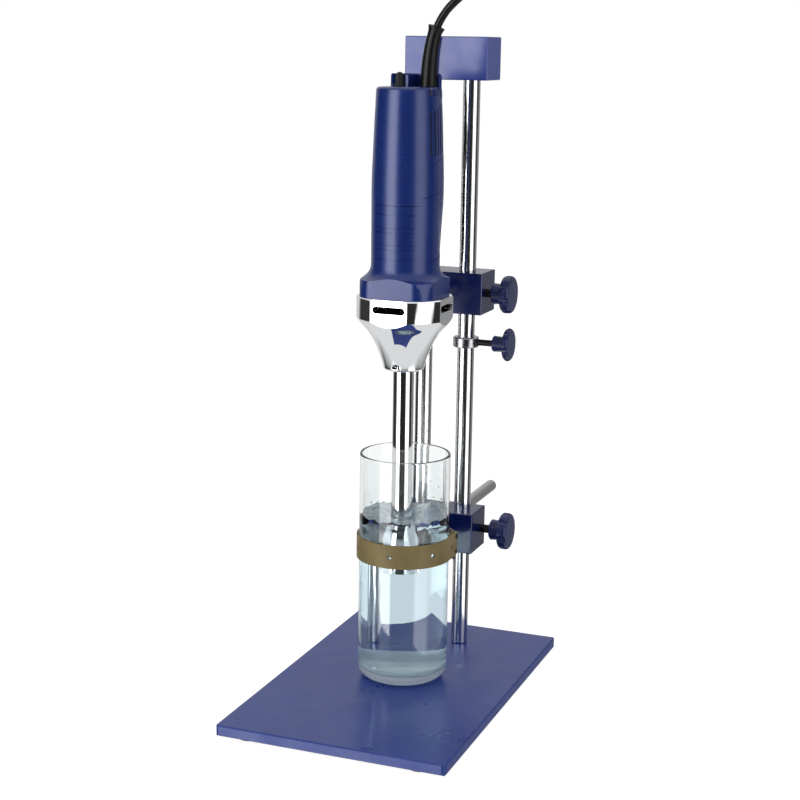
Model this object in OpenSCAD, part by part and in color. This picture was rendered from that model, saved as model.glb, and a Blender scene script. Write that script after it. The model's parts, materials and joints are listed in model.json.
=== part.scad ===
// Rotor-stator homogenizer: a hand motor on a two-rod plate stand, its dispersing
// tool hanging in a tall beaker that a strap clamp holds.
// Millimetres. X runs along the plate's front edge, Y to the back, Z up.
// The origin is the centre of the plate's underside.

/* [Base plate] */
// Width of the plate, along X
plate_w = 211; // [190:1:280]
// Depth of the plate, along Y
plate_d = 325; // [300:1:420]
// Thickness of the plate
plate_t = 10; // [8:0.5:16]
// How far the rubber feet stand below the plate
foot_h = 1.5; // [1:0.5:8]
// Diameter of a foot
foot_d = 22; // [16:1:30]

/* [Rods and blocks] */
// Diameter of the two upright rods
rod_d = 16; // [12:0.5:18]
// Distance between the rods' axes
rod_pitch = 42; // [40:1:56]
// Distance of the rods behind the plate's centre
rod_y = 114; // [106:1:126]
// Free height of the rods, from the plate to the top block
rod_free = 544; // [480:1:700]
// Width of the three blocks
block_w = 80; // [76:1:100]
// Depth of the three blocks
block_d = 40; // [36:1:48]
// Height of the three blocks
block_h = 39; // [34:1:46]
// Distance of the rods' axes from the nearer long face of a block
rod_inset = 14; // [13:0.5:17]
// Height of the carriage block's underside above the plate
carriage_z = 328.5; // [320:0.5:360]
// Height of the stop collar's underside above the plate
collar_z = 295.5; // [250:0.5:300]
// Outer diameter of the stop collar
collar_d = 24.5; // [23:0.5:30]
// Height of the stop collar
collar_h = 10; // [8:0.5:14]
// Height of the lower clamp block's underside above the plate
lower_z = 99; // [90:0.5:110]

/* [Clamp knobs] */
// Diameter of the two large star knobs
knob_d = 35; // [28:0.5:40]
// Diameter of the collar's star knob
small_knob_d = 31; // [24:0.5:34]
// Number of lobes of a star knob
knob_lobes = 7; // [5:1:9]
// Diameter of the large knobs' screws
knob_screw_d = 8; // [6:1:8]
// Diameter of the collar knob's screw
small_screw_d = 6; // [4:1:6]

/* [Motor] */
// Distance of the tool's axis in front of the rods' axes
tool_reach = 109.5; // [106:0.5:118]
// Radius of the housing at the grip
body_r = 30.6; // [30:0.1:33]
// Radius of the housing at its top
top_r = 27.5; // [27:0.1:30]
// How far the housing's back stands behind a round one
body_back = 6; // [0:0.5:7]
// Height of the housing above the flange
body_h = 181; // [176:1:200]
// Half width of the housing's square foot
foot_half = 34.5; // [34:0.5:37]
// Wall of the housing
shell_t = 2.6; // [2:0.1:2.8]
// Half width across the flange's flats
flange_half = 39.5; // [39:0.5:42]
// Radius of the flange's corners
flange_r = 43; // [42.5:0.5:46]
// Height of the flange casting, from its nose to its top
flange_h = 67; // [62:1:80]
// Height of the flange's straight rim at its corners
rim_h = 20; // [18:0.5:24]

/* [Dispersing tool] */
// Outer diameter of the tool's tube
tube_d = 19; // [16:0.5:19]
// Length of the tool below the flange's nose
tool_len = 186; // [150:1:190]
// Outer diameter of the stator head
stator_d = 30; // [26:0.5:36]
// Number of slots in the stator head
stator_slots = 8; // [6:1:12]
// Width of a stator slot
slot_w = 3; // [2:0.5:4]
// Radial gap between the rotor and the stator
rotor_gap = 0.5; // [0.4:0.1:1]

/* [Beaker and strap] */
// Outer diameter of the beaker
beaker_d = 82.6; // [76:0.1:90]
// Height of the beaker
beaker_h = 213; // [190:1:225]
// Wall of the beaker
beaker_wall = 2.4; // [2:0.1:3.5]
// Thickness of the beaker's floor
beaker_floor = 8; // [5:0.5:12]
// Distance of the beaker's axis behind the tool's axis
beaker_back = 7.5; // [4:0.5:10]
// Height of the strap
strap_h = 21.5; // [16:0.5:24]
// Thickness of the strap
strap_t = 2; // [1.5:0.1:2.5]
// Diameter of the strap clamp's rod
cross_d = 12; // [10:0.5:14]
// Length of the strap clamp's rod
cross_len = 196; // [150:1:220]

/* [Hidden] */
$fn = 64;

slide_gap = 0.1;       // a block's bore round its rod
free_gap = 0.3;        // between parts that pass each other
seam = 0.4;            // the open line between two housing shells
edge = 0.8;            // chamfer of the machined blocks
plate_edge = 1.2;      // bevel round the plate
plate_r = 4;           // radius of the plate's corners
foot_side = 27;        // a foot's axis from the plate's side edges
foot_inset = 13;       // and from its front and back edges
foot_recess = 3;       // depth of a foot's seat in the plate
foot_screw_d = 4;
rod_head_h = 5;
rod_head_r = 7;
rod_screw_d = 8;
rod_sink = 30;         // how far the rods go up into the top block

plate_top = plate_t;
rod_top = plate_top + rod_free + rod_sink;
top_z = plate_top + rod_free;
block_front = rod_y - rod_inset;
lower_front = rod_y + rod_inset - block_d;
carriage_base = plate_top + carriage_z;
collar_base = plate_top + collar_z;
lower_base = plate_top + lower_z;
carriage_mid = carriage_base + block_h / 2;
collar_mid = collar_base + collar_h / 2;
lower_mid = lower_base + block_h / 2;
side_x = block_w / 2;
rod_x = rod_pitch / 2;
tool_y = rod_y - tool_reach;
flange_top = carriage_mid + 10.3;
nose_z = flange_top - flange_h;
tool_low = nose_z - tool_len;
housing_top = flange_top + body_h;

function arc(r, a, b, n, cx = 0, cy = 0) =
    [for (i = [0 : n]) let (t = a + (b - a) * i / n) [cx + r * cos(t), cy + r * sin(t)]];

// ---- shared shapes ----

module square_with_corners(size, c)
    polygon([[-size.x / 2 + c, -size.y / 2], [size.x / 2 - c, -size.y / 2],
             [size.x / 2, -size.y / 2 + c], [size.x / 2, size.y / 2 - c],
             [size.x / 2 - c, size.y / 2], [-size.x / 2 + c, size.y / 2],
             [-size.x / 2, size.y / 2 - c], [-size.x / 2, -size.y / 2 + c]]);

// A box on z = 0, centred in x and y, with every edge chamfered.
module chamfered_box(size, c) translate([0, 0, size.z / 2]) intersection() {
    translate([0, 0, -size.z / 2]) linear_extrude(size.z)
        square_with_corners([size.x, size.y], c);
    rotate([90, 0, 0]) translate([0, 0, -size.y / 2]) linear_extrude(size.y)
        square_with_corners([size.x, size.z], c);
    rotate([90, 0, 90]) translate([0, 0, -size.x / 2]) linear_extrude(size.x)
        square_with_corners([size.y, size.z], c);
}

module rounded_square(half, r) {
    square([2 * half, 2 * (half - r)], center = true);
    square([2 * (half - r), 2 * half], center = true);
    for (x = [-1, 1], y = [-1, 1]) translate([x * (half - r), y * (half - r)]) circle(r);
}

module ring(outer_r, inner_r, h) difference() {
    cylinder(h = h, r = outer_r);
    translate([0, 0, -1]) cylinder(h = h + 2, r = inner_r);
}

// Both rods' places, for whatever repeats on them.
module at_rods() for (side = [-1, 1]) translate([side * rod_x, rod_y, 0]) children();

module at_feet() for (x = [-1, 1], y = [-1, 1])
    translate([x * (plate_w / 2 - foot_side), y * (plate_d / 2 - foot_inset), 0]) children();

// A block whose long faces lie at front and front + block_d, bored for both rods.
module rod_block(front, base, bore_gap) difference() {
    translate([0, front + block_d / 2, base]) chamfered_box([block_w, block_d, block_h], edge);
    at_rods() translate([0, 0, base - 1])
        cylinder(h = block_h + 2, r = rod_d / 2 + bore_gap);
}

// The hole of a clamp screw, from a block's right side to its rod.
module side_hole(mid, d) translate([rod_x, rod_y, mid]) rotate([0, 90, 0])
    cylinder(h = side_x - rod_x + 1, r = d / 2 + slide_gap);

// ---- base ----

module base_plate() color("mediumblue") difference() {
    intersection() {
        linear_extrude(plate_t) union() {
            square([plate_w - 2 * plate_r, plate_d], center = true);
            square([plate_w, plate_d - 2 * plate_r], center = true);
            for (x = [-1, 1], y = [-1, 1])
                translate([x * (plate_w / 2 - plate_r), y * (plate_d / 2 - plate_r)])
                    circle(plate_r);
        }
        chamfered_box([plate_w, plate_d, plate_t], plate_edge);
    }
    at_feet() {
        translate([0, 0, -1]) cylinder(h = foot_recess + 1, r = foot_d / 2 + slide_gap);
        cylinder(h = plate_t - 2, r = foot_screw_d / 2);
    }
    at_rods() {
        translate([0, 0, -1]) cylinder(h = plate_t + 2, r = rod_screw_d / 2 + slide_gap);
        translate([0, 0, -1]) cylinder(h = rod_head_h + 1, r = rod_head_r + slide_gap);
    }
}

module rubber_feet() color("black") at_feet() difference() {
    translate([0, 0, -foot_h]) intersection() {
        cylinder(h = foot_h + foot_recess, r = foot_d / 2);
        cylinder(h = foot_h + foot_recess, r1 = foot_d / 2 - 1, r2 = foot_d / 2 + 3);
    }
    translate([0, 0, -foot_h - 1]) cylinder(h = foot_h + 1, r = foot_screw_d);
    translate([0, 0, -foot_h]) cylinder(h = foot_h + foot_recess + 1, r = foot_screw_d / 2);
}

module foot_screws() color("silver") at_feet() {
    translate([0, 0, -foot_h + 0.4]) cylinder(h = foot_h - 0.4, r = foot_screw_d - slide_gap);
    translate([0, 0, -0.1]) cylinder(h = plate_t - 2, r = foot_screw_d / 2);
}

// ---- rods and top block ----

thread_len = 18;       // of the screws up into the rods

module rod() difference() {
    translate([0, 0, plate_top]) union() {
        cylinder(h = 1, r1 = rod_d / 2 - 1, r2 = rod_d / 2);
        translate([0, 0, 1]) cylinder(h = rod_top - plate_top - 2, r = rod_d / 2);
        translate([0, 0, rod_top - plate_top - 1])
            cylinder(h = 1, r1 = rod_d / 2, r2 = rod_d / 2 - 1);
    }
    translate([0, 0, plate_top - 1]) cylinder(h = thread_len + 3, r = rod_screw_d / 2);
}

module rod_left() color("silver") translate([-rod_x, rod_y, 0]) rod();
module rod_right() color("silver") translate([rod_x, rod_y, 0]) rod();

module rod_screws() color("gray") at_rods() difference() {
    union() {
        cylinder(h = rod_head_h, r = rod_head_r);
        cylinder(h = plate_t + thread_len, r = rod_screw_d / 2);
    }
    translate([0, 0, -1]) cylinder(h = 4, r = 3.4, $fn = 6);
}

grub_r = 3;
grub_len = 8;

module top_block() color("slateblue") difference() {
    translate([0, block_front + block_d / 2, top_z])
        chamfered_box([block_w, block_d, block_h], edge);
    at_rods() {
        translate([0, 0, top_z - 1]) cylinder(h = rod_sink + 1.5, r = rod_d / 2 + slide_gap);
        grub_hole(top_z + rod_sink / 2);
    }
}

module grub_hole(z) translate([0, 0, z]) rotate([-90, 0, 0])
    cylinder(h = block_d, r = grub_r);

module grub(z, start) translate([0, start, z]) rotate([-90, 0, 0]) difference() {
    cylinder(h = grub_len, r = grub_r);
    translate([0, 0, grub_len - 3]) cylinder(h = 4, r = 1.7, $fn = 6);
}

module top_set_screws() color("dimgray") at_rods()
    grub(top_z + rod_sink / 2, rod_d / 2);

// ---- clamp knobs ----

hub_len = 10;
hub_r = 10;
head_t = 9.5;
small_hub_len = 12;
small_hub_r = 7.6;
small_head_t = 6;

// A star grip along +Z: its hub starts at z = 0 and its head is above.
module star_grip(d, head, hub, hub_radius, bore) difference() {
    union() {
        rotate_extrude() polygon([[0, 0], [hub_radius - 1, 0], [hub_radius, 1],
            [hub_radius - 0.6, hub - 2], [hub_radius + 1.5, hub + 1], [0, hub + 1]]);
        translate([0, 0, hub]) intersection() {
            linear_extrude(head) star_outline(d);
            rotate_extrude() polygon(concat([[0, 0], [d / 2 - 2.5, 0]],
                arc(2.5, -90, 0, 4, d / 2 - 2.5, 2.5),
                arc(3, 0, 70, 5, d / 2 - 3, head - 3), [[0, head]]));
        }
    }
    translate([0, 0, -1]) cylinder(h = hub + head - 3, r = bore);
}

// Round lobes with a hollow between each two.
module star_outline(d) difference() {
    circle(d / 2);
    for (i = [0 : knob_lobes - 1]) rotate((i + 0.5) * 360 / knob_lobes)
        translate([d * 0.565, 0]) circle(d * 0.125);
}

module knob_at(x, mid) translate([x, rod_y, mid]) rotate([0, 90, 0]) children();

upper_knob_x = side_x + 7;
lower_knob_x = side_x + 11;
collar_edge = rod_x + collar_d / 2;
collar_knob_x = collar_edge + 15;

module clamp_stud(from_x, to_x, mid, d) knob_at(from_x, mid) union() {
    cylinder(h = 1, r1 = d / 2 - 1, r2 = d / 2);
    translate([0, 0, 1]) cylinder(h = to_x - from_x - 1, r = d / 2);
}

rod_face = rod_x + rod_d / 2 + slide_gap;

module carriage_screw() color("black")
    clamp_stud(rod_face, upper_knob_x + hub_len, carriage_mid, knob_screw_d);
module lower_screw() color("black")
    clamp_stud(rod_face, lower_knob_x + hub_len, lower_mid, knob_screw_d);
module collar_screw() color("black")
    clamp_stud(rod_face, collar_knob_x + small_hub_len, collar_mid, small_screw_d);

module carriage_knob() color("midnightblue") knob_at(upper_knob_x, carriage_mid)
    star_grip(knob_d, head_t, hub_len, hub_r, knob_screw_d / 2);
module lower_knob() color("midnightblue") knob_at(lower_knob_x, lower_mid)
    star_grip(knob_d, head_t, hub_len, hub_r, knob_screw_d / 2);
module collar_knob() color("midnightblue") knob_at(collar_knob_x, collar_mid)
    star_grip(small_knob_d, small_head_t, small_hub_len, small_hub_r, small_screw_d / 2);

// ---- stop collar ----

module stop_collar() color("silver") translate([rod_x, rod_y, collar_base]) difference() {
    rotate_extrude() polygon([[rod_d / 2 + slide_gap, 0], [collar_d / 2 - 1, 0],
        [collar_d / 2, 1], [collar_d / 2, collar_h - 1], [collar_d / 2 - 1, collar_h],
        [rod_d / 2 + slide_gap, collar_h]]);
    translate([0, 0, collar_h / 2]) rotate([0, 90, 0])
        cylinder(h = collar_d, r = small_screw_d / 2 + slide_gap);
}

// ---- carriage ----

arm_d = 16;
arm_sink = 24;         // how far the arm goes into the carriage block
arm_start = tool_y + flange_half;

module carriage_block() color("midnightblue") difference() {
    rod_block(block_front, carriage_base, slide_gap);
    side_hole(carriage_mid, knob_screw_d);
    translate([0, block_front - 1, carriage_mid]) rotate([-90, 0, 0])
        cylinder(h = arm_sink + 1, r = arm_d / 2);
    translate([0, block_front + arm_sink / 2, carriage_base - 1])
        cylinder(h = block_h / 2, r = grub_r);
}

// The motor's holding arm: a turned bar with a round foot on the flange's back flat.
arm_foot_r = 9.8;
arm_foot_t = 6;
arm_spigot_r = 5;
arm_spigot_len = 6;

module holding_arm() color("silver") translate([0, arm_start, carriage_mid])
    rotate([-90, 0, 0]) rotate_extrude() polygon([[0, -arm_spigot_len],
        [arm_spigot_r, -arm_spigot_len], [arm_spigot_r, 0], [arm_foot_r, 0],
        [arm_foot_r, arm_foot_t - 1], [arm_foot_r - 1, arm_foot_t], [arm_d / 2, arm_foot_t],
        [arm_d / 2, block_front + arm_sink - arm_start - 1],
        [arm_d / 2 - 1, block_front + arm_sink - arm_start],
        [0, block_front + arm_sink - arm_start]]);

module arm_set_screw() color("dimgray")
    translate([0, block_front + arm_sink / 2, carriage_mid - arm_d / 2 - grub_len])
        difference() {
            cylinder(h = grub_len, r = grub_r);
            translate([0, 0, -1]) cylinder(h = 4, r = 1.7, $fn = 6);
        }

// ---- flange ----

nose_r = 17;
rim_z = flange_h - rim_h;      // the rim's lower edge at the corners, above the nose
fan_room_r = 31;
fan_room_h = 20;
bearing_r = 11;
bearing_w = 7;
tube_sink = 22;                // how far the tool's tube goes up into the flange

// The turned outline: nose, concave cone and rim, from the nose up.
flange_curve = [[1.4, 2.4], [2.3, 6], [4.2, 12], [6.6, 18.5], [9.5, 25], [12.9, 31], [17, 36.8],
    [21.6, 41.8], [25, rim_z - 0.8]];
flange_profile = concat(arc(3, -90, -15, 4, nose_r - 1.5, 3),
    [for (p = smooth(flange_curve, 2)) [nose_r + p.x, p.y]],
    [[flange_r, rim_z + 0.6], [flange_r, flange_h - 1], [flange_r - 1, flange_h]]);

vent_w = 30;
vent_h = 6.3;
vent_z = flange_top - 8.8;

// A slot with round ends through one wall of the flange, towards +X.
module vent_slot() translate([flange_half - 12, 0, vent_z]) rotate([90, 0, 90]) {
    translate([-(vent_w - vent_h) / 2, -vent_h / 2, 0]) cube([vent_w - vent_h, vent_h, 20]);
    for (side = [-1, 1]) translate([side * (vent_w - vent_h) / 2, 0, 0])
        cylinder(h = 20, r = vent_h / 2);
}

module flange() color("gainsboro") translate([0, tool_y, 0]) difference() {
    translate([0, 0, nose_z]) intersection() {
        rotate_extrude() polygon(concat([[0, 0]], flange_profile, [[0, flange_h]]));
        translate([0, 0, flange_h / 2])
            cube([2 * flange_half, 2 * flange_half, flange_h + 2], center = true);
    }
    // fan chamber, bearing seat, coupling room and tool seat
    translate([0, 0, flange_top - fan_room_h]) cylinder(h = fan_room_h + 1, r = fan_room_r);
    translate([0, 0, bearing_z]) cylinder(h = 30, r = bearing_r);
    translate([0, 0, nose_z + tube_sink - 1]) cylinder(h = 30, r = coupling_room_r);
    translate([0, 0, nose_z - 1]) cylinder(h = tube_sink + 1, r = tube_d / 2);
    // vents in the flats that carry no arm
    for (turn = [0, 180, 270]) rotate(turn) vent_slot();
    translate([0, flange_half, carriage_mid]) rotate([90, 0, 0])
        cylinder(h = arm_spigot_len, r = arm_spigot_r);
    // drain hole at the front of the nose
    translate([0, 0, nose_z + drain_z]) rotate([90, 0, 0]) intersection() {
        cylinder(h = 30, r = drain_r);
        translate([-drain_r, 0, 0]) cube([2 * drain_r, drain_r, 30]);
    }
    translate([-flange_half, 0, nose_z + lock_z]) rotate([0, 90, 0])
        cylinder(h = flange_half, r = grub_r);
    at_flange_screws() translate([0, 0, flange_top - 16]) cylinder(h = 17, r = screw_r);
}

lock_z = 9;                    // the tool's set screw, above the nose
coupling_room_r = 8.5;

module tool_set_screw() color("dimgray")
    translate([-tube_d / 2 - grub_len, tool_y, nose_z + lock_z]) rotate([0, 90, 0])
        difference() {
            cylinder(h = grub_len, r = grub_r);
            translate([0, 0, -1]) cylinder(h = 4, r = 1.7, $fn = 6);
        }

drain_z = 2.5;
drain_r = 4.7;
bearing_z = flange_top - fan_room_h - bearing_w;
screw_r = 2;
screw_pos = 25.2;

module at_flange_screws() for (x = [-1, 1], y = [-1, 1])
    translate([x * screw_pos, y * screw_pos, 0]) children();

module flange_screws() color("silver") translate([0, tool_y, 0]) at_flange_screws() {
    translate([0, 0, flange_top - 15]) cylinder(h = 21, r = screw_r);
    translate([0, 0, flange_top + 6]) cylinder(h = 3, r = 3.2);
}

// ---- motor housing ----

foot_rim_h = 14.6;             // the square foot's straight part
flare_r = 13;
grip_z = flange_top + foot_rim_h + flare_r;
foot_corner = 16;
split_front = flange_top + 81.2;   // the seam between the shells, at the front
split_back = split_front + 6.5;    // and where it starts to climb, round the sides
side_rise = 0.2;                   // slope of the seam and the panels on the sides
split_y = -22.5;

// Half outlines of the housing, the given distance inside its surface, for a revolve:
// the upper part that both share, the front's and the back's.
function upper_outline(inset) = concat(
    [[body_r - inset, split_front], [body_r - inset, split_front + 21],
     [top_r + 1.3 - inset, housing_top - 28]],
    arc(3, 0, 90, 5, top_r - inset - 3, housing_top - inset - 3),
    [[0, housing_top - inset]]);

module front_profile(inset) polygon(concat(
    [[0, flange_top - sign(inset)], [flange_r - inset, flange_top - sign(inset)]],
    arc(flare_r + inset, 258, 180, 8, body_r - 0.2 + flare_r, grip_z),
    upper_outline(inset)));

module back_profile(inset) polygon(concat(
    [[0, grip_z + 4], [body_r - 2.6 - inset, grip_z + 4], [body_r - 1.2 - inset, grip_z + 32]],
    upper_outline(inset)));

module body_form(inset) {
    intersection() {
        rotate_extrude() front_profile(inset);
        union() {
            translate([0, 0, flange_top - 2]) linear_extrude(grip_z - flange_top + 2)
                rounded_square(foot_half - inset, foot_corner - inset);
            translate([0, 0, grip_z - 1]) cylinder(h = body_h, r = flange_r);
        }
    }
    translate([0, body_back, 0]) rotate_extrude() back_profile(inset);
}

// Everything below the seam between the shells.
module below_seam(gap) rotate([90, 0, 90]) translate([0, 0, -60]) linear_extrude(120)
    polygon([[-60, 0], [60, 0], [60, split_back + side_rise * (60 - split_y) - gap],
             [split_y + 2, split_back - gap], [split_y, split_front - gap],
             [-60, split_front - gap]]);

// A shallow sunk band on the body's surface, from angle a over a sweep.
module sunk_band(r, z0, z1, a, sweep, depth) translate([0, 0, z0])
    rotate([0, 0, a]) rotate_extrude(angle = sweep)
        translate([r - depth, 0]) square([depth + 3, z1 - z0]);

panel_front = -13.2;           // the side panels' front edge
panel_back = body_back - panel_front;
panel_depth = 0.6;
groove_depth = 0.7;
grip_grooves = [34, 42.7, 46.7, 57.4, 61.4, 72.7];   // their heights above the flange

// The pair of sunk panels on the housing's sides, between two sloping edges.
module side_panels(low, high) difference() {
    rotate([90, 0, 90]) translate([0, 0, -60]) linear_extrude(120) polygon([
        for (p = [[panel_front, low], [panel_back, low], [panel_back, high], [panel_front, high]])
            [p.x, p.y + side_rise * (p.x - panel_front)]]);
    body_form(panel_depth);
}

module motor_housing() color("darkblue") translate([0, tool_y, 0]) difference() {
    union() {
        intersection() {
            difference() {
                body_form(0);
                body_form(shell_t);
            }
            below_seam(seam);
        }
        screw_lugs();
    }
    for (h = grip_grooves)
        sunk_band(body_r, flange_top + h, flange_top + h + 0.8, -127, 75, groove_depth);
    side_panels(grip_z + 4, split_back - 7);
    at_flange_screws() translate([0, 0, flange_top - 1]) cylinder(h = 8, r = screw_r + 0.2);
}

// The bosses inside the square foot that the flange's screws pull on.
module screw_lugs() intersection() {
    translate([0, 0, flange_top]) linear_extrude(6)
        rounded_square(foot_half - 1, foot_corner - 1);
    at_flange_screws() translate([0, 0, flange_top]) cylinder(h = 6, r = 5);
}

vent_pitch = 5.9;
vent_slot_w = 2.2;
vent_low = flange_top + 123.7;
vent_high = flange_top + 163.3;
small_vent_low = flange_top + 174;
small_vent_h = 9;

// Through both sides at once. The tops of the long slots climb to the back.
module side_vents() for (i = [-2.5 : 1 : 2.5]) let (y = body_back / 2 + i * vent_pitch) {
    for (side = [-1, 1]) {
        translate([side * top_r - 6, y - vent_slot_w / 2, vent_low + side_rise * y / 2])
            cube([12, vent_slot_w, vent_high - vent_low + side_rise * y]);
        translate([side * top_r - 6, y - vent_slot_w / 2, small_vent_low])
            cube([12, vent_slot_w, small_vent_h]);
    }
}

cord_x = 12;                 // where the strain relief leaves the housing
cord_back = 15.5;              // its place behind the tool's axis
cord_tilt = 6;
relief_base = housing_top - 9;
lever_x = -11;
lever_back = 8;
lever_pivot = housing_top - 2;

guard_h = 11;
guard_t = 3;
guard_half_angle = 60;

module rear_cover() color("darkblue") translate([0, tool_y, 0]) difference() {
    union() {
        body_form(0);
        top_guard();
    }
    body_form(shell_t);
    below_seam(0);
    side_vents();
    side_panels(flange_top + 116, flange_top + 167);
    translate([cord_x, cord_back, relief_base]) rotate([0, cord_tilt, 0])
        cylinder(h = 30, r = relief_r + slide_gap);
    translate([lever_x, lever_back, housing_top - 10]) cylinder(h = 20, r = lever_boot_r + 1);
    translate([0, -tool_y, 0]) toggle_pin(slide_gap);
}

// The raised wall at the back of the housing's top, and the fin beside the switch.
module top_guard() translate([0, body_back, housing_top]) {
    rotate([0, 0, 90 - guard_half_angle]) rotate_extrude(angle = 2 * guard_half_angle)
        polygon([[top_r - guard_t, -5], [top_r - 0.1, -5], [top_r - 0.1, guard_h - 2],
                 [top_r - 1.3, guard_h], [top_r - guard_t, guard_h]]);
    translate([-7, 1.5, -1]) cube([4, top_r - guard_t - 1.6, guard_h]);
}

// ---- switch and strain relief ----

lever_boot_r = 5;

module switch_body() color("black")
    translate([lever_x, tool_y + lever_back, housing_top - shell_t]) difference() {
        union() {
            translate([-6.5, -7, -24]) cube([13, 14, 24]);
            for (y = [-6, 2]) translate([-1, y, -29]) cube([2, 4, 6]);
        }
        translate([0, 0, -5]) cylinder(h = 6, r = lever_boot_r + 1);
        translate([-lever_x, -tool_y - lever_back, shell_t - housing_top]) toggle_pin(slide_gap);
    }

pin_r = 1;
pin_half = 7.2;

// The toggle's hinge pin, or with a gap its bore.
module toggle_pin(gap) translate([lever_x - pin_half - gap, tool_y + lever_back, lever_pivot])
    rotate([0, 90, 0]) cylinder(h = 2 * (pin_half + gap), r = pin_r + gap);

// A toggle under a domed rubber boot, on its pin.
module switch_lever() color("black") {
    translate([lever_x, tool_y + lever_back, lever_pivot]) rotate_extrude()
        polygon(concat([[0, -4], [3, -4], [lever_boot_r, -2], [lever_boot_r, 2.5],
            [lever_boot_r - 1, 6]], arc(3.6, 10, 90, 5, 0, 11)));
    toggle_pin(0);
}

relief_r = 7.4;
relief_len = 60;
relief_neck = 6;
relief_grip = 48;              // where the cord meets it, above its base
cord_r = 3.5;

module strain_relief() color("black")
    translate([cord_x, tool_y + cord_back, relief_base]) rotate([0, cord_tilt, 0])
        difference() {
            rotate_extrude() polygon([[0, 0], [relief_r, 0], [relief_r, 10],
                [relief_r - 0.7, 26], [relief_neck + 0.1, 44], [relief_neck, 52],
                [relief_neck + 0.3, 55.5], [relief_neck + 1.4, 59], [relief_neck + 1.1, relief_len],
                [0, relief_len]]);
            translate([0, 0, relief_grip]) cylinder(h = 13, r = cord_r + slide_gap);
        }

// ---- cord ----

// Round points along the free lead: up out of the strain relief, over in an arch
// and down behind the motor to the top of the hank.
lead_points = [[18.2, 20, 594], [20, 20, 599.9], [22.6, 20, 605.2], [25.9, 20, 610.5],
    [30.2, 20, 616.2], [35.8, 20.2, 621.8], [43, 21.5, 628], [51, 26, 635],
    [57.5, 34.5, 641.5], [60.8, 46.5, 647.5], [58.8, 59.5, 651], [51.5, 71.5, 651],
    [40.5, 81, 646.5], [29, 87.8, 638.5], [18.5, 92.3, 630], [10.5, 94.6, 623.8],
    [4, 95, 617.8], [-2, 95, 610.8], [-6.5, 95, 602], [-9.5, 95, 590], [-11.3, 95, 577],
    [-12, 95, 564], [-11.6, 94.5, 550], [-10.5, 94.5, 535], [-9.4, 94.5, 522],
    [-9, 94.5, 508]];

// The tail, from the hank's left run forward and up into the plug.
tail_points = [[-51, 73.5, 403], [-50.2, 73, 410], [-48, 72, 417.5], [-44.5, 70, 425],
    [-39.5, 67, 432.5], [-33.5, 64, 439.5], [-29.5, 61.5, 447], [-27, 60.5, 454.5],
    [-26, 60, 462], [-26, 60, 468]];

hank_x = -30;                  // middle of the hank, four turns side by side
hank_front = 70;
hank_back = 98;
hank_low = 378;
hank_high = 544;
fold_r = 24.5;                 // outside of the hank's folds
hank_in_r = 17.5;

function unit(v) = v / norm(v);
function catmull(a, b, c, d, t) = 0.5 * ((2 * b) + (c - a) * t
    + (2 * a - 5 * b + 4 * c - d) * t * t + (3 * b - a - 3 * c + d) * t * t * t);
function smooth(p, n) = let (m = len(p) - 1) concat(
    [for (i = [0 : m - 1], j = [0 : n - 1])
        catmull(p[max(i - 1, 0)], p[i], p[i + 1], p[min(i + 2, m)], j / n)], [p[m]]);
function tangent(p, i) = unit(p[min(i + 1, len(p) - 1)] - p[max(i - 1, 0)]);

// A tube along the points, as rings of the given number of sides. No cord here runs
// along X, so that axis turns the rings alike.
module swept_tube(p, r, sides) {
    n = len(p);
    points = [for (i = [0 : n - 1]) let (
            t = tangent(p, i),
            side = unit(cross(t, [1, 0, 0])),
            up = cross(side, t))
        each [for (k = [0 : sides - 1]) p[i] + r * (cos(360 * k / sides) * side
                                                    + sin(360 * k / sides) * up)]];
    quads = [for (i = [0 : n - 2], k = [0 : sides - 1]) let (l = (k + 1) % sides)
        [i * sides + k, (i + 1) * sides + k, (i + 1) * sides + l, i * sides + l]];
    ends = [[for (k = [0 : sides - 1]) k],
            [for (k = [sides - 1 : -1 : 0]) (n - 1) * sides + k]];
    polyhedron(points, concat(quads, ends));
}

// The point on the strain relief's axis where the cord starts.
relief_point = [cord_x + relief_grip * sin(cord_tilt), tool_y + cord_back,
                relief_base + relief_grip * cos(cord_tilt)];

module cord_lead() color("black")
    swept_tube(smooth(concat([relief_point], lead_points), 2), cord_r, 8);
module cord_tail() color("black") swept_tube(smooth(tail_points, 2), cord_r, 8);

module stadium(r, h) {
    translate([-r, -h / 2]) square([2 * r, h]);
    for (side = [-1, 1]) translate([0, side * h / 2]) circle(r);
}

// The lead comes down into it from above and the tail leaves its left run upwards.
module cord_hank() color("black")
    translate([hank_x, hank_back, (hank_low + hank_high) / 2]) rotate([90, 0, 0])
        linear_extrude(hank_back - hank_front) difference() {
            stadium(fold_r, hank_high - hank_low - 2 * fold_r);
            stadium(hank_in_r, hank_high - hank_low - 2 * fold_r);
        }

tie_t = 1.2;
tie_h = 16;
tie_z = 470;

module cord_tie() color("dimgray") translate([hank_x, (hank_front + hank_back) / 2, tie_z])
    difference() {
        translate([-fold_r - tie_t, -(hank_back - hank_front) / 2 - tie_t, 0])
            cube([2 * (fold_r + tie_t), hank_back - hank_front + 2 * tie_t, tie_h]);
        translate([-fold_r, -(hank_back - hank_front) / 2, -1])
            cube([2 * fold_r, hank_back - hank_front, tie_h + 2]);
    }

plug_x = -26;
plug_y = 60;
plug_low = 462;
plug_boot = 14;
plug_body_h = 36;
plug_half_w = 17.6;
plug_half_t = 6.9;
pin_pitch = 18.6;
pin_len = 19;

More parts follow.
